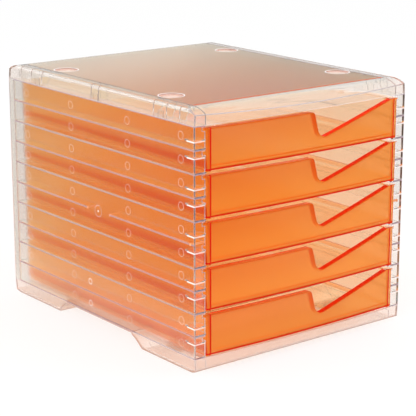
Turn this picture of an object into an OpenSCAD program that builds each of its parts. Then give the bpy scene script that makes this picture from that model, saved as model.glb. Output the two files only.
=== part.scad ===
// Desk drawer tower for A4 and C4 papers: a clear moulded housing with five trays.
// Millimetres, +Z up, front toward -Y. The origin is at the middle of the footprint,
// on the surface that the tower stands on.

/* [Housing] */
// Width over the side walls
body_w = 275; // [255:1:300]
// Depth at the side walls, without the bow of the front
body_d = 334; // [300:1:360]
// Height of one runner level; each tray takes two
level_h = 23; // [20:0.5:26]
// Number of trays
tray_count = 5; // [5]
// Height of the lid
lid_h = 16; // [14:0.5:20]
// Height of the base, without the pads
base_h = 16; // [14:0.5:20]
// Thickness of the clear mouldings
skin = 2; // [1.6:0.1:2.4]
// How far the front bows out in plan, at its middle
front_bow = 5; // [2:0.5:8]
// Radius of the roll-over at the front and back of the lid and base
roll_r = 35; // [30:1:50]
// How far the lid's roll-over reaches in from the face
lid_roll_run = 18; // [12:0.5:18]
// How far the base's roll-over reaches in from the face
base_roll_run = 15; // [12:0.5:18]
// Draft of the lid and base on each side
side_draft = 1.2; // [0.5:0.1:2]
// Rounding along the long edges of the lid and base
edge_r = 3; // [1:0.5:5]

/* [Side walls] */
// Width of the front flange
flange_w = 13; // [11:0.5:14]
// Width of a runner shelf, from the outer face
shelf_w = 16; // [15:0.5:16]
// Thickness of a runner shelf
shelf_t = 1.8; // [1.2:0.1:1.8]
// Thickness of the webs in the front corners
web_t = 1.2; // [0.8:0.1:1.6]
// Distance of a corner web from the level between two trays
web_offset = 8; // [6:0.5:9]
// Distance of the rear rib from the back edge
rear_rib = 10; // [8:0.5:12]
// Length of the break in the middle runner, round the gate
gate_gap = 40; // [20:1:60]
// Thickness of the rear panel
panel_t = 2; // [1.6:0.1:2.4]

/* [Trays] */
// Outside width of a tray
tray_w = 241; // [235:0.5:241]
// Thickness of the tray's walls and floor
tray_t = 1.6; // [1.2:0.1:2]
// Width of the front plate
front_w = 247.5; // [243:0.5:248]
// Thickness of the front plate
front_t = 2; // [1.6:0.1:2.4]
// How far the fronts stand proud of the housing
front_proud = 1; // [0.5:0.1:1.5]
// Gap over and under each front, measured from its level
front_gap = 2.5; // [2:0.1:3]
// Depth of the rim that stiffens the front's upper edge
rim_depth = 6; // [4:0.5:8]
// Width over the two side lips
lip_span = 254; // [252:0.5:254]
// Height of the tray's floor above its level
floor_z = 6; // [5:0.5:8]

/* [Finger scoop] */
// Left end of the scoop on the upper edge, from the middle
scoop_x = 7; // [0:0.5:15]
// Depth of the scoop's corner before it is rounded
scoop_depth = 28.7; // [24:0.1:30]
// Lean of the scoop's steep flank, from the vertical
scoop_lean = 15; // [10:1:20]
// Right end of the long slanted edge, from the middle
scoop_end = 116; // [100:1:118]
// Radius at the bottom of the scoop
scoop_r = 10; // [8:0.5:12]
// Radius where the flank meets the upper edge
scoop_corner_r = 5; // [3:0.5:6]

/* [Feet and stacking] */
// Length of the front and rear feet, from the face to the start of the arch
foot_run = 89; // [80:1:95]
// Radius of the arch at the inner end of a foot
arch_r = 48; // [40:1:60]
// Distance of the pads and stacking recesses from the sides
stack_x = 28; // [26:1:32]
// Distance of the pads and stacking recesses from the front and back
stack_y = 73; // [68:1:74]
// Radius of a stacking recess in the lid
recess_r = 12; // [11:0.5:14]
// Depth of a stacking recess
recess_depth = 2.4; // [1.5:0.1:2.6]
// Radius of a pad under the base
pad_r = 11; // [9:0.5:11]
// How far a pad stands below the foot
pad_drop = 2; // [1.5:0.5:2.5]

/* [Hidden] */

clear_plastic = [0.93, 0.91, 0.88, 0.45];
orange_plastic = [0.96, 0.47, 0.12, 0.8];
pad_clear = [0.85, 0.84, 0.82, 0.8];

// Heights
levels = 2 * tray_count;
wall_h = levels * level_h;
base_z = pad_drop;
wall_z = base_z + base_h;
lid_z = wall_z + wall_h;
tray_pitch = 2 * level_h;

// Plan: the box round everything is centred on the origin
half_w = body_w / 2;
back_y = (body_d + front_bow + front_proud) / 2;
front_y = back_y - body_d;
bow_r = (half_w * half_w + front_bow * front_bow) / (2 * front_bow);
bow_y = front_y - front_bow + bow_r;
bow_fn = 720;

// Clearances and small parts
slide_gap = 0.3;
half_shelf = shelf_t / 2;
lip_tip = 0.5;
lip_root = 1.8;
rail_h = 1.8;
rail_end = 14;
tray_top = tray_pitch - front_gap - 0.5;
tray_end = 4;
notch_h = 3.8;
notch_drop = 1.7;
pad_seat = 0.8;
tab_w = 8;
tab_h = 7;
tab_t = 1.6;
lid_webs = [24, 45, 66];
mid_web = 6.5;
web_foot = 9.7;
web_head = 20;
front_rib = 4;
tab_ys = [front_y + 55.5, (front_y + back_y) / 2, back_y - 55.5];
rib_t = 1.8;

// Geometry helpers

function unit(v) = v / norm(v);

// Where the line through p along d meets the line through q along e
function meet(p, d, q, e) = p + d * (cross(q - p, e) / cross(d, e));

// Points of the arc of radius r that rounds corner q between p and s
function corner(p, q, s, r, n) =
    r <= 0 ? [q] :
    let (
        u = unit(p - q),
        v = unit(s - q),
        half = acos(u * v) / 2,
        c = q + unit(u + v) * r / sin(half),
        a = atan2((q + u * r / tan(half) - c).y, (q + u * r / tan(half) - c).x),
        b = atan2((q + v * r / tan(half) - c).y, (q + v * r / tan(half) - c).x),
        turn = (b - a + 900) % 360 - 180
    )
    [for (i = [0 : n]) c + r * [cos(a + turn * i / n), sin(a + turn * i / n)]];

// A closed outline with each corner rounded to its own radius
function rounded(pts, radii, n = 8) = [
    for (i = [0 : len(pts) - 1])
        each corner(pts[(i + len(pts) - 1) % len(pts)], pts[i], pts[(i + 1) % len(pts)], radii[i], n)
];

// Turns an outline in (Y, Z) into a bar along X
module along_x(x0, x1) {
    translate([x0, 0, 0]) rotate([90, 0, 90]) linear_extrude(x1 - x0) children();
}

// Turns an outline in (X, Z) into a bar along Y
module along_y(y0, y1) {
    translate([0, y1, 0]) rotate([90, 0, 0]) linear_extrude(y1 - y0) children();
}

// Everything behind the bowed front, moved out by grow
module behind_bow(grow = 0) {
    translate([0, bow_y]) circle(r = bow_r + grow, $fn = bow_fn);
}

// Plan of the lid and base: straight sides and back, bowed front
module plan(inset = 0) {
    intersection() {
        translate([-half_w + inset, front_y - 2 * front_bow])
            square([body_w - 2 * inset, body_d + 2 * front_bow - inset]);
        behind_bow(-inset);
    }
}

// Side view of the lid, from its seam up: a flat top that rolls over at both ends
module roll_profile(h, run, inset = 0) {
    low = -inset;
    difference() {
        translate([front_y - 2 * front_bow, low])
            square([body_d + 2 * front_bow, h - inset - low]);
        for (side = [0, 1])
            translate([side ? back_y - run : front_y + run, h - roll_r])
                mirror([side ? 0 : 1, 0])
                    difference() {
                        square([run + 2 * front_bow, roll_r]);
                        circle(r = roll_r - inset, $fn = 180);
                    }
    }
}

// Front view of the lid, from its seam up: drafted sides and rounded upper edges
module draft_profile(h, inset = 0) {
    low = -inset;
    bottom = half_w - inset;
    top = bottom - side_draft;
    polygon(rounded(
        [[-bottom, low], [bottom, low], [top, h - inset], [-top, h - inset]],
        [0, 0, edge_r, edge_r]
    ));
}

// The form that the lid and, upside down, the base are cut from
module cover_form(h, run, inset = 0) {
    intersection() {
        translate([0, 0, -inset]) linear_extrude(h + inset) plan(inset);
        along_x(-half_w - 1, half_w + 1) roll_profile(h, run, inset);
        along_y(front_y - 2 * front_bow, back_y + 1) draft_profile(h, inset);
    }
}

module mirror_y() {
    children();
    translate([0, front_y + back_y, 0]) mirror([0, 1, 0]) children();
}

module mirror_x() {
    children();
    mirror([1, 0, 0]) children();
}

// Places of the four pads and recesses
module at_stack_points() {
    mirror_x() mirror_y() translate([half_w - stack_x, front_y + stack_y, 0]) children();
}

// Lid

// A web across the side channel, its free edge hollowed to a quarter circle
module lid_web(y) {
    hollow_r = web_head - web_foot;
    along_y(y - web_t / 2, y + web_t / 2)
        difference() {
            translate([half_w - web_head, 0]) square([web_head - skin / 2, lid_h - skin / 2]);
            translate([half_w - web_head, 0]) circle(r = hollow_r, $fn = 64);
        }
}

module lid_ribs() {
    intersection() {
        cover_form(lid_h, lid_roll_run);
        union() {
            mirror_x() {
                for (y = lid_webs) mirror_y() lid_web(front_y + y);
                mirror_y()
                    translate([half_w - web_head + 6, (front_y + back_y) / 2 - mid_web - web_t / 2, 0])
                        cube([web_head - 6 - skin / 2, web_t, lid_h - skin / 2]);
                translate([half_w - flange_w - web_t, front_y, 0])
                    cube([web_t, body_d - skin / 2, lid_h - skin / 2]);
            }
            // Low rib across the front, where the flat top starts to roll over
            translate([-half_w + flange_w, front_y + lid_roll_run, lid_h - skin - front_rib])
                cube([body_w - 2 * flange_w, web_t, front_rib + skin / 2]);
        }
    }
}

// The dished recess that takes a pad of the tower above; grow gives the boss under it
module recess(grow = 0) {
    low = -recess_depth - 0.8 * grow;
    rotate_extrude($fn = 96)
        polygon([
            [0, low], [recess_r - 1.3 + grow, low], [recess_r + grow, -0.5],
            [recess_r + 1.5 + grow, 1], [0, 1]
        ]);
}

module lid() {
    color(clear_plastic)
        translate([0, 0, lid_z])
            difference() {
                union() {
                    difference() {
                        cover_form(lid_h, lid_roll_run);
                        cover_form(lid_h, lid_roll_run, skin);
                    }
                    lid_ribs();
                    at_stack_points()
                        intersection() {
                            translate([0, 0, lid_h]) recess(skin);
                            cylinder(r = recess_r + 3 * skin, h = lid_h - skin / 2, $fn = 96);
                        }
                }
                at_stack_points() translate([0, 0, lid_h]) recess();
            }
}

// Base

// Side view of the opening between two feet, measured down from the seam
module arch_opening(grow = 0) {
    rise = 14.4;
    step = foot_run + 17.4;
    mid = (front_y + back_y) / 2;
    for (side = [0, 1])
        translate([mid, 0]) mirror([side, 0]) translate([-mid, 0]) {
            translate([front_y + step - grow, -1])
                square([mid - front_y - step + grow + 1, rise + 1 + grow]);
            intersection() {
                translate([front_y + foot_run + 36.4, -31.3]) circle(r = arch_r + grow, $fn = 180);
                translate([front_y + foot_run - 12, -1]) square([step - foot_run + 12, rise]);
            }
        }
}

// What is hollow in the front foot, above its floor and in front of the arch
module foot_hollow() {
    difference() {
        translate([-half_w, front_y - front_bow, skin])
            cube([body_w, foot_run + 17 + front_bow, base_h]);
        along_x(-half_w - 1, half_w + 1) arch_opening(skin);
        mirror_x()
            translate([half_w - flange_w - web_t, front_y - front_bow, 0])
                cube([web_t, foot_run + 20, base_h - 3]);
    }
}

module base() {
    color(clear_plastic)
        translate([0, 0, base_z])
            difference() {
                translate([0, 0, base_h]) mirror([0, 0, 1]) cover_form(base_h, base_roll_run);
                // Opening from side to side between the front and rear feet
                along_x(-half_w - 1, half_w + 1) arch_opening();
                // Both feet are hollow and open upward, with a stiffening web near each end
                intersection() {
                    translate([0, 0, base_h]) mirror([0, 0, 1]) cover_form(base_h, base_roll_run, skin);
                    mirror_y() foot_hollow();
                }
                // Seats of the pads
                at_stack_points()
                    translate([0, 0, -1]) cylinder(r = pad_r + 0.2, h = pad_seat + 1, $fn = 96);
            }
}

module foot_pad(side_x, side_y) {
    color(pad_clear)
        translate([side_x * (half_w - stack_x), (front_y + back_y) / 2 + side_y * (body_d / 2 - stack_y), 0])
            cylinder(r = pad_r, h = pad_drop + pad_seat, $fn = 96);
}

// Side walls

// Drawn for the left side, then mirrored for the right
module side_wall() {
    inner = -half_w + skin;
    shelf_len = body_d - skin - rear_rib;
    mid = (front_y + back_y) / 2;
    translate([0, 0, wall_z]) {
        // Outer skin
        translate([-half_w, front_y, 0]) cube([skin, body_d, wall_h]);
        // Front flange, notched under each level for the lips of the trays
        difference() {
            translate([-half_w, front_y, 0]) cube([flange_w, skin, wall_h]);
            for (i = [1 : levels])
                translate([-lip_span / 2 - 0.8, front_y - 1, i * level_h - notch_drop - notch_h])
                    cube([flange_w, skin + 2, notch_h]);
        }
        // Runners, one to a level; the middle one stops short of the flange and round the gate
        for (i = [1 : levels - 1])
            translate([inner - 0.1, front_y + skin - 0.1, i * level_h - half_shelf])
                difference() {
                    cube([shelf_w - skin + 0.1, shelf_len + 0.2, shelf_t]);
                    if (i == tray_count)
                        for (cut = [[-1, 5], [(shelf_len - gate_gap) / 2, gate_gap]])
                            translate([-1, cut[0], -1])
                                cube([shelf_w + 2, cut[1], shelf_t + 2]);
                }
        // Half-thick runners at the foot and the head
        for (z = [0, wall_h - half_shelf])
            translate([inner - 0.1, front_y + skin - 0.1, z])
                cube([shelf_w - skin + 0.1, shelf_len + 0.2, half_shelf]);
        // Webs in the front corner, a pair to each tray
        for (i = [0 : tray_count - 1], side = [-1, 1])
            translate([inner - 0.1, front_y + skin - 0.1, i * tray_pitch + level_h + side * web_offset])
                linear_extrude(web_t)
                    polygon(rounded(
                        [[0, 0], [shelf_w - skin, 0], [shelf_w - skin, shelf_w - skin], [0, shelf_w - skin]],
                        [0, 0, 8, 0]
                    ));
        // Rear rib that the runners end on
        translate([inner - 0.1, back_y - rear_rib, 0])
            cube([flange_w - skin, rib_t, wall_h]);
        // Tabs that the lid clips over
        for (y = tab_ys)
            translate([inner + 0.9, y - tab_w / 2, wall_h - 0.1])
                cube([tab_t, tab_w, tab_h]);
    }
}

module side_wall_left() {
    color(clear_plastic) side_wall();
}

module side_wall_right() {
    color(clear_plastic) mirror([1, 0, 0]) side_wall();
}

// Flat panel with a return along each side, set between the side walls behind their ribs
module rear_panel() {
    panel_w = body_w - 2 * skin;
    return_d = rear_rib - rib_t;
    color(clear_plastic)
        translate([0, 0, wall_z]) {
            translate([-panel_w / 2, back_y - panel_t, 0]) cube([panel_w, panel_t, wall_h]);
            mirror_x()
                translate([panel_w / 2 - skin, back_y - return_d, 0])
                    cube([skin, return_d, wall_h]);
        }
}

// Trays

// Front view of a tray's front plate, its upper edge and scoop drawn in by inset
function front_outline(inset) =
    let (
        low = front_gap,
        top = tray_pitch - front_gap,
        half = front_w / 2,
        a = [scoop_x, top],
        b = [scoop_x + scoop_depth * tan(scoop_lean), top - scoop_depth],
        c = [scoop_end, top],
        flank = unit(b - a),
        slant = unit(c - b),
        a_in = a + inset * [flank.y, -flank.x],
        b_in = b + inset * [slant.y, -slant.x],
        edge = [0, top - inset],
        level = [1, 0]
    )
    rounded(
        [
            [-half, low], [-half, top - inset],
            meet(a_in, flank, edge, level), meet(a_in, flank, b_in, slant), meet(b_in, slant, edge, level),
            [half, top - inset], [half, low]
        ],
        [0, 0, scoop_corner_r - inset, scoop_r + inset, 0, 0, 0]
    );

// Cuts its child to the bowed band that starts at the face and is depth deep
module bowed_band(depth) {
    intersection() {
        children();
        linear_extrude(tray_pitch)
            difference() {
                behind_bow(front_proud);
                behind_bow(front_proud - depth);
            }
    }
}

module tray_front() {
    y0 = front_y - front_bow - front_proud - 1;
    y1 = front_y + rim_depth + 2;
    // Plate
    bowed_band(front_t) along_y(y0, y1) polygon(front_outline(0));
    // Rim along the upper edge and the scoop
    bowed_band(rim_depth)
        along_y(y0, y1)
            difference() {
                polygon(front_outline(0));
                polygon(front_outline(tray_t));
            }
    // Rim along the lower edge
    bowed_band(rim_depth - 2)
        along_y(y0, y1)
            translate([-front_w / 2, front_gap]) square([front_w, rail_h]);
}

// Front view of a tray: two walls and a floor
module tray_profile() {
    for (side = [-1, 1])
        translate([side * (tray_w - tray_t) / 2 - tray_t / 2, half_shelf + slide_gap])
            square([tray_t, tray_top - half_shelf - slide_gap]);
    translate([-tray_w / 2, floor_z]) square([tray_w, tray_t]);
}

// Front view of the tray's rails, which run on the shelves, and its lips
module runner_profile() {
    wall = tray_w / 2 - tray_t / 2;
    rail = front_w / 2 + 0.2;
    tip = lip_span / 2;
    for (side = [0, 1])
        mirror([side, 0]) {
            translate([wall, half_shelf + slide_gap]) square([rail - wall, rail_h]);
            polygon([
                [wall, tray_top - lip_root], [tip, tray_top - lip_tip],
                [tip, tray_top], [wall, tray_top]
            ]);
        }
}

module tray(index) {
    level = wall_z + (tray_count - index) * tray_pitch;
    y0 = front_y - front_bow - front_proud;
    color(orange_plastic)
        translate([0, 0, level]) {
            tray_front();
            intersection() {
                union() {
                    along_y(y0, back_y - tray_end) tray_profile();
                    along_y(y0, back_y - rail_end) runner_profile();
                }
                linear_extrude(tray_pitch) behind_bow(front_proud - front_t / 2);
            }
            // Rear wall
            translate([-tray_w / 2, back_y - tray_end - tray_t, half_shelf + slide_gap])
                cube([tray_w, tray_t, tray_top - half_shelf - slide_gap]);
        }
}

module drawer_1() { tray(1); }
module drawer_2() { tray(2); }
module drawer_3() { tray(3); }
module drawer_4() { tray(4); }
module drawer_5() { tray(5); }

lid();
base();
side_wall_left();
side_wall_right();
rear_panel();
drawer_1();
drawer_2();
drawer_3();
drawer_4();
drawer_5();
foot_pad(-1, -1);  // foot_pad_front_left
foot_pad(1, -1);  // foot_pad_front_right
foot_pad(-1, 1);  // foot_pad_rear_left
foot_pad(1, 1);  // foot_pad_rear_right
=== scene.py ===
"""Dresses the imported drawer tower: clear polystyrene housing, orange trays, studio stage."""
import math

import bpy
from bpy.props import FloatProperty, FloatVectorProperty, PointerProperty
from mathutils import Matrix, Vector


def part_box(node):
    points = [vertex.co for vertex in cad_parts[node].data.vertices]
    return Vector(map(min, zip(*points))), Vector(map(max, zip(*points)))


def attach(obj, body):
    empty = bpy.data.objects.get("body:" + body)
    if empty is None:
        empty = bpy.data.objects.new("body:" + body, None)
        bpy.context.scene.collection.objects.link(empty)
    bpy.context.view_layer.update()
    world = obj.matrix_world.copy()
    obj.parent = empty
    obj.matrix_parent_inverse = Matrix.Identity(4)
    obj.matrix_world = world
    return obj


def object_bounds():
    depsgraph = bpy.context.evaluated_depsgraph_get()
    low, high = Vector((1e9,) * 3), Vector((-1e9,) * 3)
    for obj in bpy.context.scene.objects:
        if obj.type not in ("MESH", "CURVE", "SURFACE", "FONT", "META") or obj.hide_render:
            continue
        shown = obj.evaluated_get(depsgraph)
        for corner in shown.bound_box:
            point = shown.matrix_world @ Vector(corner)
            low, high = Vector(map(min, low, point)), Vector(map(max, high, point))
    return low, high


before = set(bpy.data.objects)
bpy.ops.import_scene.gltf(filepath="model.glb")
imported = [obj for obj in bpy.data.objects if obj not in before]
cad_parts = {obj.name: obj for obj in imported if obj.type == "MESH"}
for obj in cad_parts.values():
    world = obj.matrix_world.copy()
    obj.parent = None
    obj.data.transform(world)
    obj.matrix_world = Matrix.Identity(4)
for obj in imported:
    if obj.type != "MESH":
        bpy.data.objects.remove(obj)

bl_info = {
    "name": "Drawer Tower",
    "version": (1, 0, 0),
    "blender": (4, 5, 0),
    "location": "View3D > Sidebar > Drawer Tower",
    "description": "Materials and studio for a clear drawer tower with orange trays",
    "category": "Object",
}

MM = 0.001
CAD_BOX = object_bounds()
TRAYS = sorted(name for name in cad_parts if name.startswith("drawer_"))
WALLS = ["side_wall_left", "side_wall_right"]
PADS = sorted(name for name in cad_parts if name.startswith("foot_pad_"))

# Places in the frame, in millimetres. A width is measured from the middle of the tower.
SIDE = CAD_BOX[1].x / MM  # Outer faces of the side walls
TOP = CAD_BOX[1].z / MM
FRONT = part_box("side_wall_left")[0].y / MM  # Front of the side walls' flanges
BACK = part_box("side_wall_left")[1].y / MM
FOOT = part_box("side_wall_left")[0].z / MM  # Level that the lowest tray runs on
RUNNER_STEP = 23.0
TRAY_STEP = 46.0
MIDDLE_LEVEL = FOOT + 5 * RUNNER_STEP
GATE_Y = -1.3  # Middle of the gap in the middle runner
GATE_HALF = 20.0  # Half of that gap
GATE_DOT, GATE_RING, STAMP_RING = (0.0, 1.0), (6.0, 0.3), (3.0, 0.4)  # Radius and half width of each mark
STAMPS = ((16.0, 53.0), (16.0, 29.0))  # Round stamps on the skin, as Y and Z
RING_X = 135.6  # Inner side of the skin
RING_COLUMNS = tuple(FRONT + y for y in (22.0, 110.0, 212.0, 299.0))
RING_HEIGHTS = tuple(FOOT + RUNNER_STEP * (i + 0.5) for i in range(10))
LID_INSIDE = 123.0  # Inner sides of the ribs along the lid's sides
LID_RIB = FRONT + 18.0  # Front of the rib across the lid
# The lid's haze is painted light on its top
HAZE_Y = (-150.0, 130.0)  # The lid's haze changes its colour between these
HAZE_ACROSS = (165.0, -120.0)  # It sets in between these, as X less Y
RECESS_X = 109.5
RECESS_Y = (3.0, 94.0)  # Middle between the recesses, and the distance from it
RECESS_RIM, RECESS_CONE, RECESS_FLOOR = (12.9, 0.5), (11.4, 0.8), (0.0, 10.2)  # Radius and half width
TRAY_SIDE = 118.0  # Inner side of a tray's side wall
TRAY_FLOOR = 3.2  # Middle of a tray's floor, above its level
# Lines of painted shade on a tray's outer side
STREAKS = (4.4, 6.6, 8.8)  # Lines on a tray's side, above its level

POLYSTYRENE_IOR = 1.59
ELASTOMER_IOR = 1.5
CLEAR_SURFACES = 5  # A ray that has met more surfaces than this goes straight on through clear plastic
TRAY_SURFACES = 4  # The same for the orange plastic

# The studio, in metres and degrees
FLOOR_SIZE = 12.0
LAMP_AIM = (0.0, 0.0, 0.1)
CAMERA_PLACE = (-0.9660, -1.2469, 0.5328)  # Fitted to the edges of the object in the photo
CAMERA_TILT = 75.115
CAMERA_TURN = -37.960
# Between these, in millimetres, the floor turns from dark to bright for bent light
BRIGHT_X = (-300.0, -170.0)
BRIGHT_Y = (-540.0, -460.0)


def linear(text):
    """An sRGB hex colour as linear red, green and blue, and an alpha of 1."""
    channels = [int(text[i:i + 2], 16) / 255 for i in (1, 3, 5)]
    return tuple(c / 12.92 if c <= 0.04045 else ((c + 0.055) / 1.055) ** 2.4 for c in channels) + (1.0,)


def colour(name, description, text):
    return FloatVectorProperty(
        name=name, description=description, default=linear(text), size=4,
        min=0.0, max=1.0, subtype="COLOR",
    )


def length(name, description, value):
    """A length, given in millimetres and kept in metres."""
    return FloatProperty(name=name, description=description, default=value * MM, min=0.0, subtype="DISTANCE")


def share(name, description, value):
    return FloatProperty(name=name, description=description, default=value, min=0.0, max=1.0,
                         subtype="FACTOR")


def number(name, description, value):
    return FloatProperty(name=name, description=description, default=value, min=0.0)


class HousingSettings(bpy.types.PropertyGroup):
    """The clear plastic of the lid, base, walls and rear panel"""
    tint: colour("Tint", "What one clear wall leaves of white light", "#FEFDFB")
    wall_tint: colour("Wall tint", "What the frosted inner face of a wall leaves of white light", "#FFFDF8")
    # Painted light: the lid's frosted underside takes the orange light of the trays below, paler towards the
    # rear
    lid_tray_light_tint: colour("Lid tint", "What the lid's frosted underside leaves of white light in front", "#FFA414")
    lid_rear_light_tint: colour("Lid rear tint", "What it leaves at the rear", "#FFF4C0")
    base_tint: colour("Base tint", "What one wall of the base leaves of white light", "#F0DACB")
    depth_tint: colour("Depth tint", "Colour of the clear plastic where light runs far inside it", "#D8CED2")
    density: number("Density", "How strongly light that runs inside takes the depth tint", 3.0)
    polish: share("Polished roughness", "Roughness of edges and ribs", 0.03)
    frost: share("Skin roughness", "Roughness of the large wall faces", 0.2)
    lid_frost: share("Lid roughness", "Roughness of the lid's underside", 0.4)

    edge_tint: colour("Edge tint", "Grey light that the clear plastic's edges gather", "#D4CAD8")
    edge_width: length("Edge width", "Width of the line along an edge", 0.5)
    edge_weight: share("Edge weight", "How strongly an edge shows", 0.85)
    # The runners' roots are real; the grey line where each shows through the skin is painted shade
    root_shade_tint: colour("Runner tint", "Colour of a runner's root as it shows through the skin", "#A898A6")
    line_weight: share("Runner weight", "How strongly a runner's root shows through the skin", 0.6)
    end_tint: colour("Runner end tint", "Colour that the ends of the middle runner gather", "#F0A878")
    end_weight: share("Runner end weight", "How strongly these ends show", 0.9)
    gleam: colour("Gleam", "Colour of roots and rims that catch the light", "#FBF4F2")
    web_weight: share("Web weight", "How strongly the roots of the corner webs show", 0.85)
    gate_weight: share("Gate weight", "How strongly the gate mark shows", 0.8)
    gate_ring_weight: share("Gate ring weight", "How strongly the ring round the gate mark shows", 0.3)
    stamp_weight: share("Stamp weight", "How strongly the round stamps show", 0.6)
    milk_tint: colour("Milk tint", "Light that the rear ends of the walls scatter", "#F4ECE8")
    milk_weight: share("Milk weight", "How much light these ends scatter", 0.2)
    base_milk: colour("Base milk", "Light that the base scatters", "#EBD2C6")
    base_milk_weight: share("Base milk weight", "How much light the base scatters", 0.28)

    channel_tint: colour("Channel tint", "Colour that the lid's sides gather from the trays", "#F3DED2")
    channel_weight: share("Channel weight", "How much of it the lid's sides gather", 0.16)
    rib_tint: colour("Rib tint", "Colour that the lid's front rib gathers from the trays", "#E2704A")
    rib_weight: share("Rib weight", "How much of it the rib gathers", 0.6)
    # Painted light on the lid's top, paler towards its rear left corner and more orange towards its front
    # left corner
    haze_tint: colour("Haze tint", "Colour that the lid's top gathers near its rear left corner", "#FBEEE1")
    front_haze_tint: colour("Front haze tint", "Colour that it gathers near its front left corner", "#E0B586")
    haze: share("Haze", "How much of these the lid's top gathers", 0.24)
    # Painted light and shade in the stacking recesses: a highlight on the rim, shade on the sloping wall and
    # a glow from the trays on the floor
    rim_weight: share("Recess rim weight", "How strongly the rim of a recess gleams", 0.8)
    cone_tint: colour("Recess wall", "Colour that the sloping wall of a recess gathers", "#C58E7C")
    cone_weight: share("Recess wall weight", "How much of it the wall gathers", 0.5)
    glow_tint: colour("Recess glow", "Colour that the floor of a recess gathers from the trays", "#FBEAE0")
    glow_weight: share("Recess glow weight", "How much of it the floor gathers", 0.5)

    ring_radius: length("Ejector ring radius", "Radius of the ring that an ejector pin leaves", 4.0)
    ring_line: length("Ejector ring line", "Half the thickness of the ring's raised line", 0.22)
    ring_tint: colour("Ejector ring tint", "Colour of the light that a ring catches", "#FBEDE4")
    ring_weight: share("Ejector ring weight", "How strongly a ring shows", 0.65)
    ring_rough: share("Ejector ring roughness", "Roughness of a ring", 0.25)


class TraySettings(bpy.types.PropertyGroup):
    """The orange plastic of the trays"""
    tint: colour("Tint", "What one tray wall leaves of white light at its two faces", "#FFE2B8")
    inner_tint: colour("Inner tint", "The same, for a face that looks into the tray", "#FFE4CC")
    face_tint: colour("Face tint", "What one face leaves of light that passes straight on", "#FFF6E4")
    depth_tint: colour("Depth tint", "Colour of the orange plastic where light runs far inside it", "#FFF4E2")
    density: number("Density", "How strongly light that runs inside takes the depth tint", 540.0)
    # Painted shade on the trays' outer sides: darker towards the front, along the floor's level and in lines
    # just above it
    side_shade_tint: colour("Side tint", "What the side walls leave of white light near the front", "#FFDC98")
    floor_level_shade: colour("Floor tint", "What shows beside the floor, where light runs along it", "#FFA878")
    streak_shade: colour("Streak tint", "What the floor's own edges leave of white light", "#E88A60")
    frost: share("Face roughness", "Roughness of the spark-eroded faces", 0.2)
    polish: share("Edge roughness", "Roughness of the polished edges", 0.05)
    grain: length("Grain", "Size of the grain that spark erosion leaves", 0.9)
    grain_depth: length("Grain depth", "Depth of the grain", 0.05)
    grain_weight: share("Grain weight", "How strongly the grain shows", 0.08)

    body: share("Body", "How much the pigment scatters light back", 0.4)
    front_body: share("Front body", "How much the textured front scatters light back", 0.5)
    matt_share: share("Matt share", "How much of that light comes from the lit side", 0.5)
    through_tint: colour("Through tint", "Light that the pigment scatters from the other side", "#FFA62C")
    # Painted shade and light in the pigment's scatter: darker towards a tray's upper edge, lighter at the
    # sides' rear, darker low on the sides in front
    low_tint: colour("Low tint", "Light that the pigment scatters near a tray's floor", "#FF9E2C")
    high_shade_tint: colour("High tint", "Light that it scatters near a tray's upper edge", "#E66E10")
    rear_light_tint: colour("Rear tint", "Light that it scatters near a tray's rear", "#FFC470")
    low_side_shade_tint: colour("Low side tint", "Light that it scatters low on the sides, in front", "#D23C08")

    edge_tint: colour("Edge tint", "Colour that a tray's edges gather", "#C8140C")
    edge_width: length("Edge width", "Width of the line along an edge", 0.6)
    edge_weight: share("Edge weight", "How strongly an edge shows", 0.6)
    rim_tint: colour("Rim tint", "Colour that the scoop's rim gathers", "#E62404")
    rim_weight: share("Rim weight", "How strongly the rim shows", 0.8)
    root_tint: colour("Root tint", "Colour gathered where side walls and floor meet the front", "#C4080A")
    root_weight: share("Root weight", "How strongly these roots show", 0.9)


class PadSettings(bpy.types.PropertyGroup):
    """The elastomer of the pads"""
    tint: colour("Tint", "Colour of the milky elastomer", "#DAD8D2")
    rough: share("Roughness", "Roughness of the pads", 0.55)
    clear: share("Clearness", "How much light the pads let through", 0.35)
    grain: length("Grain", "Size of the grain that spark erosion leaves", 0.6)
    grain_depth: length("Grain depth", "Depth of the grain", 0.1)
    grain_weight: share("Grain weight", "How strongly the grain shows", 0.2)


class StageSettings(bpy.types.PropertyGroup):
    """The studio's floor, light and camera"""
    floor: colour("Floor", "Colour of the floor", "#FAFAFA")
    floor_white: share("Floor white", "How much of the floor stays white in the object's shadow", 0.75)
    floor_light: share(
        "Front floor light",
        "Brightness of the floor in front and at the left, as the plastic mirrors and bends it", 0.12)
    room_light: share("Room light", "Brightness of the room as the plastic bends it", 1.0)
    mirror_light: share("Mirror light", "How much of that brightness the plastic mirrors", 0.38)
    lamp: FloatProperty(
        name="Lamp power", description="Power of the main softbox", default=12.0, min=0.0, unit="POWER")
    fill: share("Fill", "Power of the second softbox against the main one", 0.5)
    lens: FloatProperty(
        name="Lens", description="Focal length", default=129.86, min=1.0, subtype="DISTANCE_CAMERA")


def add(tree, kind, settings=None, **links):
    """Adds a node with its settings.

    A link names an input by its label or its index, and gives it a value or another node's output."""
    made = tree.nodes.new(kind)
    for name, value in (settings or {}).items():
        setattr(made, name, value)
    for name, value in links.items():
        key = int(name[1:]) if name[0] == "i" and name[1:].isdigit() else name.replace("_", " ")
        socket = made.inputs[key]
        if isinstance(value, bpy.types.NodeSocket):
            tree.links.new(value, socket)
        else:
            socket.default_value = value
    return made


def new_material(name):
    made = bpy.data.materials.new(name)
    made.use_nodes = True
    made.node_tree.nodes.clear()
    return made, made.node_tree


def axes(tree):
    """The place of a point in the frame, as three values."""
    place = add(tree, "ShaderNodeTexCoord").outputs["Object"]
    return add(tree, "ShaderNodeSeparateXYZ", Vector=place).outputs


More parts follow.
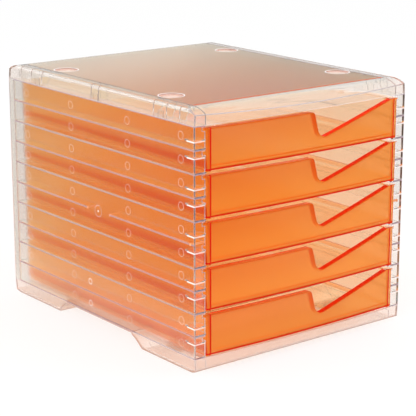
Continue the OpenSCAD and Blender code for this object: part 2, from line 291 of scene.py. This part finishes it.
def combined(tree, operation, *values):
    """Joins several values with one operation, from left to right."""
    result = values[0]
    for value in values[1:]:
        result = add(tree, "ShaderNodeMath", {"operation": operation}, i0=result, i1=value).outputs[0]
    return result


def ramp(tree, value, low, high, unit=MM):
    """0 where the value is at low or beyond, 1 where it is at high or beyond, a soft step between them."""
    return add(tree, "ShaderNodeMapRange", {"clamp": True, "interpolation_type": "SMOOTHSTEP"},
               Value=value, From_Min=low * unit, From_Max=high * unit).outputs[0]


def size_of(tree, value, centre=0.0):
    """How far a value is from a centre in millimetres."""
    off = combined(tree, "SUBTRACT", value, centre * MM)
    return add(tree, "ShaderNodeMath", {"operation": "ABSOLUTE"}, i0=off).outputs[0]


def band(tree, value, centre, half, soft=0.25):
    """1 within half of a centre, 0 beyond, all in millimetres."""
    return ramp(tree, size_of(tree, value, centre), half + soft, half)


def ring_distance(tree, across, up):
    """How far a point is from a centre, from its distances along two axes."""
    place = add(tree, "ShaderNodeCombineXYZ", X=across, Y=up).outputs[0]
    return add(tree, "ShaderNodeVectorMath", {"operation": "LENGTH"}, i0=place).outputs["Value"]


def near_multiple(tree, value, start, step):
    """The distance to the nearest of the places start, start + step and so on, given in millimetres."""
    off = combined(tree, "SUBTRACT", value, start * MM)
    return add(tree, "ShaderNodeMath", {"operation": "PINGPONG"}, i0=off, i1=step / 2 * MM).outputs[0]


def square_to(tree, part):
    """1 where one part of a normal is so large that the face is square to that axis, 0 on the edges."""
    return ramp(tree, part, 0.75, 0.92, unit=1.0)


def faces_along(tree, axis):
    """1 on faces square to an axis of the frame, 0 on the edges between them."""
    where = add(tree, "ShaderNodeTexCoord").outputs["Normal"]
    part = add(tree, "ShaderNodeSeparateXYZ", Vector=where).outputs["XYZ".index(axis)]
    return square_to(tree, size_of(tree, part))


def inner_faces(tree, axis):
    """1 on faces square to an axis that look to the middle of the frame, 0 elsewhere."""
    at = "XYZ".index(axis)
    where = add(tree, "ShaderNodeTexCoord")
    facing = add(tree, "ShaderNodeSeparateXYZ", Vector=where.outputs["Normal"]).outputs[at]
    side = add(tree, "ShaderNodeSeparateXYZ", Vector=where.outputs["Object"]).outputs[at]
    side = add(tree, "ShaderNodeMath", {"operation": "SIGN"}, i0=side).outputs[0]
    behind = add(tree, "ShaderNodeNewGeometry").outputs["Backfacing"]
    turn = add(tree, "ShaderNodeMapRange", Value=behind, To_Min=-1.0, To_Max=1.0).outputs[0]
    return square_to(tree, combined(tree, "MULTIPLY", facing, side, turn))


def seen_early(tree, most=1):
    """1 where light has passed at most so many surfaces, 0 further on."""
    depth = add(tree, "ShaderNodeLightPath").outputs["Ray Depth"]
    return combined(tree, "LESS_THAN", depth, most + 0.5)


def edges(tree, width):
    """1 along the edges of a mesh, to about the given width in metres, where few surfaces are in front."""
    rounded = add(tree, "ShaderNodeBevel", {"samples": 4}, Radius=width).outputs[0]
    plain = add(tree, "ShaderNodeNewGeometry").outputs["Normal"]
    same = add(tree, "ShaderNodeVectorMath", {"operation": "DOT_PRODUCT"}, i0=rounded, i1=plain)
    turned = ramp(tree, size_of(tree, same.outputs["Value"]), 0.995, 0.93, unit=1.0)
    return combined(tree, "MULTIPLY", turned, seen_early(tree))


def passing(tree, most, *kinds):
    """1 for light that goes straight on: rays of these kinds, and rays caught long inside thin sheets."""
    path = add(tree, "ShaderNodeLightPath").outputs
    late = combined(tree, "GREATER_THAN", path["Ray Depth"], most)
    return combined(tree, "MAXIMUM", late, *(path[kind] for kind in kinds))


def grain_bump(tree, settings):
    """The grain that spark erosion leaves on a mould, as a bent normal.

    The real grain, below 0.1 mm, is too fine to show, so it is drawn as coarse as it needs to be."""
    place = add(tree, "ShaderNodeTexCoord").outputs["Object"]
    noise = add(tree, "ShaderNodeTexNoise", Vector=place, Scale=1 / settings.grain, Detail=2.0).outputs[0]
    return add(tree, "ShaderNodeBump", Strength=settings.grain_weight, Distance=settings.grain_depth,
               Height=noise).outputs[0]


def painted(tree, surface, tint, weight):
    """A surface with a share of plain colour over it."""
    paint = add(tree, "ShaderNodeBsdfDiffuse", Color=tuple(tint)).outputs[0]
    return add(tree, "ShaderNodeMixShader", Fac=weight, i1=surface, i2=paint).outputs[0]


def assign(names, made):
    for name in names:
        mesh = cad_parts[name].data
        mesh.materials.clear()
        mesh.materials.append(made)


def outer_skin(tree):
    """1 on the outer faces of the side walls and on the front of their flanges."""
    x, y, z = axes(tree)
    skin = ramp(tree, size_of(tree, x), SIDE - 0.5, SIDE - 0.2)
    flange = ramp(tree, y, FRONT + 0.4, FRONT + 0.1)
    return combined(tree, "MAXIMUM", skin, flange)


def runner_roots(tree):
    """The roots of the runners as they show through the skin of a side wall and on its flange, where a grey
    line of painted shade goes.
    """
    x, y, z = axes(tree)
    ahead = ramp(tree, y, BACK - 9.0, BACK - 10.0)
    level = ramp(tree, near_multiple(tree, z, FOOT, RUNNER_STEP), 0.95, 0.6)
    middle = band(tree, z, MIDDLE_LEVEL, 5)
    open_at = combined(tree, "MAXIMUM", band(tree, y, GATE_Y, GATE_HALF), ramp(tree, y, FRONT + 0.5, FRONT))
    gap = combined(tree, "SUBTRACT", 1.0, combined(tree, "MULTIPLY", middle, open_at))
    return combined(tree, "MULTIPLY", outer_skin(tree), ahead, level, gap)


def web_roots(tree):
    """The roots of the webs in the front corners, a pair to each tray, fainter on the flange: where a painted
    highlight goes.
    """
    x, y, z = axes(tree)
    corner = ramp(tree, y, FRONT + 12.5, FRONT + 11.0)
    webs = band(tree, near_multiple(tree, z, FOOT + RUNNER_STEP, TRAY_STEP), 8, 0.6)
    flange = ramp(tree, y, FRONT + 0.4, FRONT + 0.1)
    fading = add(tree, "ShaderNodeMapRange", Value=flange, To_Min=1.0, To_Max=0.5).outputs[0]
    return combined(tree, "MULTIPLY", outer_skin(tree), corner, webs, fading)


def runner_ends(tree):
    """The ends of the middle runner, on both sides of the gate and behind the flange, where painted orange
    light goes.
    """
    x, y, z = axes(tree)
    at_gate = band(tree, size_of(tree, y, GATE_Y), GATE_HALF, 0.3)
    at_flange = band(tree, y, FRONT + 6.5, 1.0)
    ends = combined(tree, "MAXIMUM", at_gate, at_flange)
    return combined(tree, "MULTIPLY", ends, band(tree, z, MIDDLE_LEVEL, 1.2))


def skin_ring(y_mm, z_mm, radius, half):
    """A ring on the outer skin, or a dot where the radius is 0, as a mask."""
    def mask(tree):
        x, y, z = axes(tree)
        across = combined(tree, "SUBTRACT", y, y_mm * MM)
        up = combined(tree, "SUBTRACT", z, z_mm * MM)
        ring = band(tree, ring_distance(tree, across, up), radius, half)
        return combined(tree, "MULTIPLY", ring, outer_skin(tree))
    return mask


def rear_strip(tree):
    """The rear ends of the side walls, behind the ribs that the runners end on."""
    x, y, z = axes(tree)
    return ramp(tree, y, BACK - 12.0, BACK - 9.0)


def recess_part(middle, half):
    """A ring of the lid's stacking recesses, or a disc where its middle is 0, as a mask for painted light and
    shade.
    """
    def mask(tree):
        x, y, z = axes(tree)
        across = combined(tree, "SUBTRACT", size_of(tree, x), RECESS_X * MM)
        along = combined(tree, "SUBTRACT", size_of(tree, y, RECESS_Y[0]), RECESS_Y[1] * MM)
        ring = band(tree, ring_distance(tree, across, along), middle, half)
        return combined(tree, "MULTIPLY", ring, ramp(tree, z, TOP - 3.4, TOP - 2.8))
    return mask


def lid_front_line(tree):
    """The root of the rib that crosses the lid where its front starts to roll over, where a line of painted
    orange light from the trays goes.
    """
    x, y, z = axes(tree)
    root = band(tree, y, LID_RIB + 1.8, 1.8)
    inside = ramp(tree, size_of(tree, x), LID_INSIDE + 1, LID_INSIDE - 1)
    return combined(tree, "MULTIPLY", root, inside, ramp(tree, z, TOP - 0.4, TOP - 0.2))


def lid_channel(tree):
    """The lid's sides, outside its inner ribs, and its front, ahead of the rib, where painted light from the
    trays goes.
    """
    x, y, z = axes(tree)
    sides = ramp(tree, size_of(tree, x), LID_INSIDE + 2.5, LID_INSIDE + 4)
    ahead = ramp(tree, y, LID_RIB, LID_RIB - 2)
    below = ramp(tree, z, TOP - 0.5, TOP - 2)
    return combined(tree, "MULTIPLY", combined(tree, "MAXIMUM", sides, ahead), below)


def lid_painted_light(from_y, to_y):
    """The lid's flat top, as a mask for painted light that grows towards its rear left corner and from one Y
    to the other.
    """
    def mask(tree):
        x, y, z = axes(tree)
        top = combined(tree, "MULTIPLY", faces_along(tree, "Z"), ramp(tree, z, TOP - 0.6, TOP - 0.3))
        inside = ramp(tree, size_of(tree, x), LID_INSIDE + 1, LID_INSIDE)
        behind = ramp(tree, y, LID_RIB, LID_RIB + 1)
        corner = ramp(tree, combined(tree, "SUBTRACT", x, y), *HAZE_ACROSS)
        return combined(tree, "MULTIPLY", top, inside, behind, corner, ramp(tree, y, from_y, to_y))
    return mask


def lid_frost(tree):
    """The textured underside of the lid's flat top, inside its ribs."""
    x, y, z = axes(tree)
    inside = ramp(tree, size_of(tree, x), LID_INSIDE + 0.5, LID_INSIDE)
    behind = ramp(tree, y, LID_RIB, LID_RIB + 1)
    return combined(tree, "MULTIPLY", inner_faces(tree, "Z"), inside, behind)


def clear_polystyrene(name, settings, flat, frost, tint=None, rear_light_tint=None, lines=()):
    """Crystal polystyrene, injection moulded: polished edges, faces very finely textured where flat is 1.

    These faces take their own tint where one is given, and it may change towards the rear; on the lid this
    tint is painted light from the trays. Each of the lines is a mask, a colour, a weight and the most
    surfaces in front of it: painted light and shade on roots, rims and faces, also where these show through."""
    made, tree = new_material(name)
    flat = flat(tree)
    rough = add(tree, "ShaderNodeMapRange", Value=flat, To_Min=settings.polish, To_Max=frost).outputs[0]
    tinted = tuple(settings.tint)
    if tint is not None:
        skin = tuple(tint)
        if rear_light_tint is not None:
            x, y, z = axes(tree)
            depth = add(tree, "ShaderNodeMapRange", Value=y, From_Min=CAD_BOX[0].y, From_Max=CAD_BOX[1].y)
            skin = add(tree, "ShaderNodeMix", {"data_type": "RGBA"}, i0=depth.outputs[0], i6=skin,
                       i7=tuple(rear_light_tint)).outputs[2]
        tinted = add(tree, "ShaderNodeMix", {"data_type": "RGBA"}, i0=flat, i6=tinted, i7=skin).outputs[2]
    surface = add(tree, "ShaderNodeBsdfPrincipled", Base_Color=tinted, Roughness=rough,
                  IOR=POLYSTYRENE_IOR, Transmission_Weight=1.0).outputs[0]
    edge = (lambda tree: edges(tree, settings.edge_width), settings.edge_tint, settings.edge_weight, 1)
    for mask, root_shade_tint, weight, most in (edge, *lines):
        weight = combined(tree, "MULTIPLY", mask(tree), weight, seen_early(tree, most))
        surface = painted(tree, surface, root_shade_tint, weight)
    window = add(tree, "ShaderNodeBsdfTransparent", Color=tuple(settings.tint)).outputs[0]
    through = passing(tree, CLEAR_SURFACES, "Is Shadow Ray", "Is Diffuse Ray")
    surface = add(tree, "ShaderNodeMixShader", Fac=through, i1=surface, i2=window).outputs[0]
    inside = add(tree, "ShaderNodeVolumeAbsorption", Color=tuple(settings.depth_tint),
                 Density=settings.density).outputs[0]
    add(tree, "ShaderNodeOutputMaterial", Surface=surface, Volume=inside)
    return made


def ring_polystyrene(settings):
    """Crystal polystyrene in the fine raised rings that ejector pins leave, which catch the light."""
    made, tree = new_material("clear_polystyrene_marks")
    pale = add(tree, "ShaderNodeBsdfPrincipled", Base_Color=tuple(settings.ring_tint),
               Roughness=settings.ring_rough).outputs[0]
    window = add(tree, "ShaderNodeBsdfTransparent", Color=tuple(settings.tint)).outputs[0]
    surface = add(tree, "ShaderNodeMixShader", Fac=settings.ring_weight, i1=window, i2=pale)
    add(tree, "ShaderNodeOutputMaterial", Surface=surface.outputs[0])
    return made


def ring_mesh(name, x, radius, thick, around=28, section=6):
    """Thin rings on a wall square to the X axis, one at each of the columns and heights."""
    points, faces = [], []
    for y in RING_COLUMNS:
        for z in RING_HEIGHTS:
            base = len(points)
            for i in range(around):
                turn = 2 * math.pi * i / around
                for j in range(section):
                    tilt = 2 * math.pi * j / section
                    far = radius + thick * math.cos(tilt)
                    points.append((x * MM + thick * math.sin(tilt),
                                   y * MM + far * math.cos(turn), z * MM + far * math.sin(turn)))
            for i in range(around):
                for j in range(section):
                    k, m = (i + 1) % around, (j + 1) % section
                    faces.append([base + a * section + b for a, b in ((i, j), (k, j), (k, m), (i, m))])
    mesh = bpy.data.meshes.new(name)
    mesh.from_pydata(points, [], faces)
    made = bpy.data.objects.new(name, mesh)
    bpy.context.scene.collection.objects.link(made)
    return made


def orange_polystyrene(settings):
    """Tinted polystyrene, injection moulded: frosted faces that glow evenly, edges that gather red light."""
    made, tree = new_material("orange_tinted_polystyrene")
    x, y, z = axes(tree)
    from_middle = size_of(tree, x)
    # Height above the level that the tray runs on
    height = combined(tree, "SUBTRACT", z, FOOT * MM)
    height = add(tree, "ShaderNodeMath", {"operation": "WRAP"}, i0=height, i1=TRAY_STEP * MM,
                 i2=0.0).outputs[0]
    forward = add(tree, "ShaderNodeMapRange", {"clamp": True}, Value=y, From_Min=BACK * MM,
                  From_Max=FRONT * MM).outputs[0]

    # Faces: all large ones, those that look out, the front and the outer sides
    flat = combined(tree, "MAXIMUM", faces_along(tree, "Y"), faces_along(tree, "X"))
    inward = combined(tree, "MAXIMUM", inner_faces(tree, "X"), inner_faces(tree, "Y"),
                      add(tree, "ShaderNodeNewGeometry").outputs["Backfacing"])
    outward = combined(tree, "SUBTRACT", 1.0, inward)
    front = ramp(tree, y, FRONT + 1.5, FRONT + 1.0)
    side = combined(tree, "MULTIPLY", faces_along(tree, "X"), outward,
                    ramp(tree, from_middle, TRAY_SIDE, TRAY_SIDE + 0.5))

    # Light that passes through
    tinted = add(tree, "ShaderNodeMix", {"data_type": "RGBA"}, i0=inward, i6=tuple(settings.tint),
                 i7=tuple(settings.inner_tint)).outputs[2]
    floor = combined(tree, "MULTIPLY", ramp(tree, height, 1, 5), ramp(tree, height, 14, 6))
    streaks = combined(tree, "MAXIMUM", *(band(tree, height, at, 0.5, 0.6) for at in STREAKS))
    # On the outer sides, painted shade: darker towards the front, along the floor's level and in the lines
    # above it
    for part, tint in (
        (forward, settings.side_shade_tint),
        (floor, settings.floor_level_shade),
        (streaks, settings.streak_shade),
    ):
        tinted = add(tree, "ShaderNodeMix", {"data_type": "RGBA", "blend_type": "MULTIPLY"},
                     i0=combined(tree, "MULTIPLY", side, part), i6=tinted, i7=tuple(tint)).outputs[2]
    rough = add(tree, "ShaderNodeMapRange", Value=flat, To_Min=settings.polish, To_Max=settings.frost)
    surface = add(tree, "ShaderNodeBsdfPrincipled", Base_Color=tinted, Roughness=rough.outputs[0],
                  IOR=POLYSTYRENE_IOR, Transmission_Weight=1.0, Normal=grain_bump(tree, settings)).outputs[0]

    # Light that the pigment scatters, with painted shade and light: darker towards the top and lighter
    # towards the right end, except on the outer sides, which are lighter towards the rear and darker low in
    # front
    high = combined(tree, "SUBTRACT", ramp(tree, height, 6, 44), ramp(tree, x, 40, TRAY_SIDE), side)
    low = combined(tree, "MULTIPLY", ramp(tree, height, 0.5, 4), ramp(tree, height, 20, 8))
    shade = tuple(settings.low_tint)
    for part, tint in (
        (high, settings.high_shade_tint),
        (combined(tree, "MULTIPLY", side, combined(tree, "SUBTRACT", 1.0, forward)), settings.rear_light_tint),
        (combined(tree, "MULTIPLY", side, low, forward), settings.low_side_shade_tint),
    ):
        shade = add(tree, "ShaderNodeMix", {"data_type": "RGBA", "clamp_factor": True}, i0=part, i6=shade,
                    i7=tuple(tint)).outputs[2]
    through = add(tree, "ShaderNodeBsdfTranslucent", Color=tuple(settings.through_tint)).outputs[0]
    matt = add(tree, "ShaderNodeBsdfDiffuse", Color=shade).outputs[0]
    body = add(tree, "ShaderNodeMixShader", Fac=settings.matt_share, i1=through, i2=matt).outputs[0]
    weight = add(tree, "ShaderNodeMapRange", Value=front, To_Min=settings.body, To_Max=settings.front_body)
    weight = combined(tree, "MULTIPLY", flat, outward, weight.outputs[0])
    surface = add(tree, "ShaderNodeMixShader", Fac=weight, i1=surface, i2=body).outputs[0]

    # Red light that edges, the scoop's rim and the roots behind the front gather
    scoop = combined(tree, "MULTIPLY", combined(tree, "SUBTRACT", 1.0, faces_along(tree, "Y")),
                     ramp(tree, y, FRONT + 5.5, FRONT + 5),
                     ramp(tree, from_middle, TRAY_SIDE - 0.5, TRAY_SIDE - 1),
                     ramp(tree, height, 9, 10), ramp(tree, height, 43.4, 43.1))
    roots = combined(tree, "MAXIMUM", band(tree, height, TRAY_FLOOR, 0.75, 0.3),
                     band(tree, from_middle, TRAY_SIDE + 1.8, 0.75, 0.3))
    for mask, tint, weight in (
        (edges(tree, settings.edge_width), settings.edge_tint, settings.edge_weight),
        (scoop, settings.rim_tint, settings.rim_weight),
        (combined(tree, "MULTIPLY", roots, front), settings.root_tint, settings.root_weight),
    ):
        surface = painted(tree, surface, tint, combined(tree, "MULTIPLY", mask, weight))

    window = add(tree, "ShaderNodeBsdfTransparent", Color=tuple(settings.face_tint)).outputs[0]
    surface = add(tree, "ShaderNodeMixShader", Fac=passing(tree, TRAY_SURFACES, "Is Shadow Ray"), i1=surface,
                  i2=window).outputs[0]
    inside = add(tree, "ShaderNodeVolumeAbsorption", Color=tuple(settings.depth_tint),
                 Density=settings.density).outputs[0]
    add(tree, "ShaderNodeOutputMaterial", Surface=surface, Volume=inside)
    return made


def pad_elastomer(settings):
    """Clear thermoplastic elastomer: soft, matt and slightly milky."""
    made, tree = new_material("milky_elastomer")
    skin = add(tree, "ShaderNodeBsdfPrincipled", Base_Color=tuple(settings.tint), Roughness=settings.rough,
               IOR=ELASTOMER_IOR, Transmission_Weight=settings.clear, Normal=grain_bump(tree, settings))
    add(tree, "ShaderNodeOutputMaterial", Surface=skin.outputs[0])
    return made


class TOWER_OT_housing(bpy.types.Operator):
    """Gives the lid, base, walls and rear panel their clear plastic"""
    bl_idname = "tower.housing"
    bl_label = "Clear Housing"

    def execute(self, context):
        settings = context.scene.tower_housing
        # Painted light and shade on the side walls: grey lines at the runners' roots, highlights at the
        # corner webs' roots, on the gate mark and on the stamps, and orange light at the middle runner's
        # ends; the rear ends scatter milky light
        roots = (
            (runner_roots, settings.root_shade_tint, settings.line_weight, 1),
            (web_roots, settings.gleam, settings.web_weight, 1),
            (rear_strip, settings.milk_tint, settings.milk_weight, 1),
            (runner_ends, settings.end_tint, settings.end_weight, 3),
            (skin_ring(GATE_Y, MIDDLE_LEVEL, *GATE_DOT), settings.gleam, settings.gate_weight, 1),
            (skin_ring(GATE_Y, MIDDLE_LEVEL, *GATE_RING), settings.gleam, settings.gate_ring_weight, 1),
            *((skin_ring(y, z, *STAMP_RING), settings.gleam, settings.stamp_weight, 1) for y, z in STAMPS),
        )
        # Painted light and shade on the lid: orange light from the trays on its sides, front and front rib,
        # the haze on its top, and the recesses' rims, walls and floors
        rims = (
            (lid_channel, settings.channel_tint, settings.channel_weight, 1),
            (lid_painted_light(*HAZE_Y), settings.haze_tint, settings.haze, 1),
            (lid_painted_light(*reversed(HAZE_Y)), settings.front_haze_tint, settings.haze, 1),
            (lid_front_line, settings.rib_tint, settings.rib_weight, 1),
            (recess_part(*RECESS_RIM), settings.gleam, settings.rim_weight, 1),
            (recess_part(*RECESS_CONE), settings.cone_tint, settings.cone_weight, 1),
            (recess_part(*RECESS_FLOOR), settings.glow_tint, settings.glow_weight, 1),
        )
        milk = ((lambda tree: 1.0, settings.base_milk, settings.base_milk_weight, 1),)
        assign(WALLS, clear_polystyrene(
            "clear_polystyrene_walls", settings, lambda tree: inner_faces(tree, "X"), settings.frost,
            settings.wall_tint, lines=roots))
        assign(["lid"], clear_polystyrene(
            "clear_polystyrene_lid", settings, lid_frost, settings.lid_frost, settings.lid_tray_light_tint,
            settings.lid_rear_light_tint, rims))
        assign(["base"], clear_polystyrene(
            "clear_polystyrene_base", settings, lambda tree: faces_along(tree, "Z"), settings.frost,
            settings.base_tint, lines=milk))
        assign(["rear_panel"], clear_polystyrene(
            "clear_polystyrene_rear", settings, lambda tree: inner_faces(tree, "Y"), settings.frost))
        return {"FINISHED"}


class TOWER_OT_marks(bpy.types.Operator):
    """Adds the rings that the ejector pins left on the side walls"""
    bl_idname = "tower.marks"
    bl_label = "Ejector Rings"

    def execute(self, context):
        settings = context.scene.tower_housing
        finish = ring_polystyrene(settings)
        for side, x in (("left", -RING_X), ("right", RING_X)):
            rings = ring_mesh("ejector_rings_" + side, x, settings.ring_radius, settings.ring_line)
            rings.data.materials.append(finish)
            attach(rings, "housing")
        return {"FINISHED"}


class TOWER_OT_trays(bpy.types.Operator):
    """Gives the trays their translucent orange plastic"""
    bl_idname = "tower.trays"
    bl_label = "Orange Trays"

    def execute(self, context):
        assign(TRAYS, orange_polystyrene(context.scene.tower_trays))
        return {"FINISHED"}


class TOWER_OT_pads(bpy.types.Operator):
    """Gives the pads under the feet their elastomer"""
    bl_idname = "tower.pads"
    bl_label = "Foot Pads"

    def execute(self, context):
        assign(PADS, pad_elastomer(context.scene.tower_pads))
        return {"FINISHED"}


def mirrored(tree):
    """1 for rays that a surface mirrored, 0 for those that came straight or bent."""
    path = add(tree, "ShaderNodeLightPath").outputs
    straight = combined(tree, "SUBTRACT", 1.0, path["Is Transmission Ray"])
    return combined(tree, "MULTIPLY", path["Is Glossy Ray"], straight)


def surround(tree, strength, mirror):
    """White for camera and diffuse rays; bent rays see the given strength, and mirrored rays a part of it."""
    path = add(tree, "ShaderNodeLightPath").outputs
    part = add(tree, "ShaderNodeMapRange", Value=mirrored(tree), To_Min=1.0, To_Max=mirror).outputs[0]
    return combined(tree, "MAXIMUM", combined(tree, "MULTIPLY", strength, part), path["Is Camera Ray"],
                    path["Is Diffuse Ray"])


def softbox(name, place, width, height, power):
    data = bpy.data.lights.new(name, "AREA")
    data.shape, data.size, data.size_y, data.energy = "RECTANGLE", width, height, power
    lamp = bpy.data.objects.new(name, data)
    lamp.location = place
    lamp.visible_glossy = False
    lamp.rotation_euler = (Vector(LAMP_AIM) - Vector(place)).to_track_quat("-Z", "Y").to_euler()
    bpy.context.scene.collection.objects.link(lamp)


def floor_paint(settings):
    """White paint that keeps the object's shadow, and that is dark to bent light in front and at the left."""
    made, tree = new_material("painted_floor")
    paint = add(tree, "ShaderNodeBsdfDiffuse", Color=tuple(settings.floor))
    x, y, z = axes(tree)
    bright = combined(tree, "MULTIPLY", ramp(tree, x, *BRIGHT_X), ramp(tree, y, *BRIGHT_Y))
    lit = add(tree, "ShaderNodeMapRange", Value=bright, To_Min=settings.floor_light, To_Max=1.0).outputs[0]
    white = add(tree, "ShaderNodeEmission", Color=(1, 1, 1, 1),
                Strength=surround(tree, lit, settings.mirror_light))
    path = add(tree, "ShaderNodeLightPath").outputs
    glowing = add(tree, "ShaderNodeMapRange", Value=path["Is Diffuse Ray"], To_Min=settings.floor_white,
                  To_Max=0.0).outputs[0]
    bent = combined(tree, "MAXIMUM", path["Is Glossy Ray"], path["Is Transmission Ray"])
    dark = combined(tree, "MULTIPLY", bent, combined(tree, "SUBTRACT", 1.0, bright))
    glowing = combined(tree, "MAXIMUM", glowing, mirrored(tree), dark)
    mixed = add(tree, "ShaderNodeMixShader", Fac=glowing, i1=paint.outputs[0], i2=white.outputs[0])
    add(tree, "ShaderNodeOutputMaterial", Surface=mixed.outputs[0])
    return made


class TOWER_OT_stage(bpy.types.Operator):
    """Makes the floor, the lamps, the surroundings and the camera"""
    bl_idname = "tower.stage"
    bl_label = "Studio"

    def execute(self, context):
        scene = context.scene
        settings = scene.tower_stage
        bpy.ops.mesh.primitive_plane_add(size=FLOOR_SIZE)
        floor = context.object
        floor.name = "studio_floor"
        floor.data.materials.append(floor_paint(settings))

        world = bpy.data.worlds.new("studio_surround")
        world.use_nodes = True
        tree = world.node_tree
        tree.nodes.clear()
        sky = add(tree, "ShaderNodeBackground", Color=(1, 1, 1, 1),
                  Strength=surround(tree, settings.room_light, settings.mirror_light))
        add(tree, "ShaderNodeOutputWorld", Surface=sky.outputs[0])
        scene.world = world

        softbox("softbox_left", (-1.2, -0.9, 1.5), 0.9, 0.9, settings.lamp)
        softbox("softbox_right", (1.3, -1.2, 1.0), 0.6, 1.0, settings.lamp * settings.fill)

        data = bpy.data.cameras.new("photo_camera")
        data.lens, data.sensor_width, data.sensor_fit = settings.lens, 36.0, "HORIZONTAL"
        data.clip_start, data.clip_end = 0.05, 50.0
        camera = bpy.data.objects.new("photo_camera", data)
        camera.location = CAMERA_PLACE
        camera.rotation_euler = (math.radians(CAMERA_TILT), 0, math.radians(CAMERA_TURN))
        scene.collection.objects.link(camera)
        scene.camera = camera
        scene.view_settings.view_transform = "Standard"
        # Each sheet of plastic takes a ray two bounces or more, and many sheets lie behind one another
        scene.cycles.max_bounces = 32
        scene.cycles.transmission_bounces = 32
        scene.cycles.transparent_max_bounces = 64
        return {"FINISHED"}


class TOWER_PT_sidebar(bpy.types.Panel):
    """Lists the steps that dress the tower"""
    bl_idname = "TOWER_PT_sidebar"
    bl_label = "Drawer Tower"
    bl_space_type = "VIEW_3D"
    bl_region_type = "UI"
    bl_category = "Drawer Tower"

    def draw(self, context):
        for step in STEPS:
            self.layout.operator(step.bl_idname)
        for group in GROUPS:
            box = self.layout.box()
            settings = getattr(context.scene, group)
            for name in settings.__annotations__:
                box.prop(settings, name)


STEPS = (TOWER_OT_housing, TOWER_OT_marks, TOWER_OT_trays, TOWER_OT_pads, TOWER_OT_stage)
GROUPS = {
    "tower_housing": HousingSettings,
    "tower_trays": TraySettings,
    "tower_pads": PadSettings,
    "tower_stage": StageSettings,
}


def register():
    for made in (*GROUPS.values(), *STEPS, TOWER_PT_sidebar):
        bpy.utils.register_class(made)
    for name, group in GROUPS.items():
        setattr(bpy.types.Scene, name, PointerProperty(type=group))


def unregister():
    for name in GROUPS:
        delattr(bpy.types.Scene, name)
    for made in (TOWER_PT_sidebar, *STEPS, *GROUPS.values()):
        bpy.utils.unregister_class(made)


def main():
    register()
    bpy.ops.tower.housing()
    bpy.ops.tower.marks()
    bpy.ops.tower.trays()
    bpy.ops.tower.pads()
    bpy.ops.tower.stage()


if __name__ == "__main__":
    main()
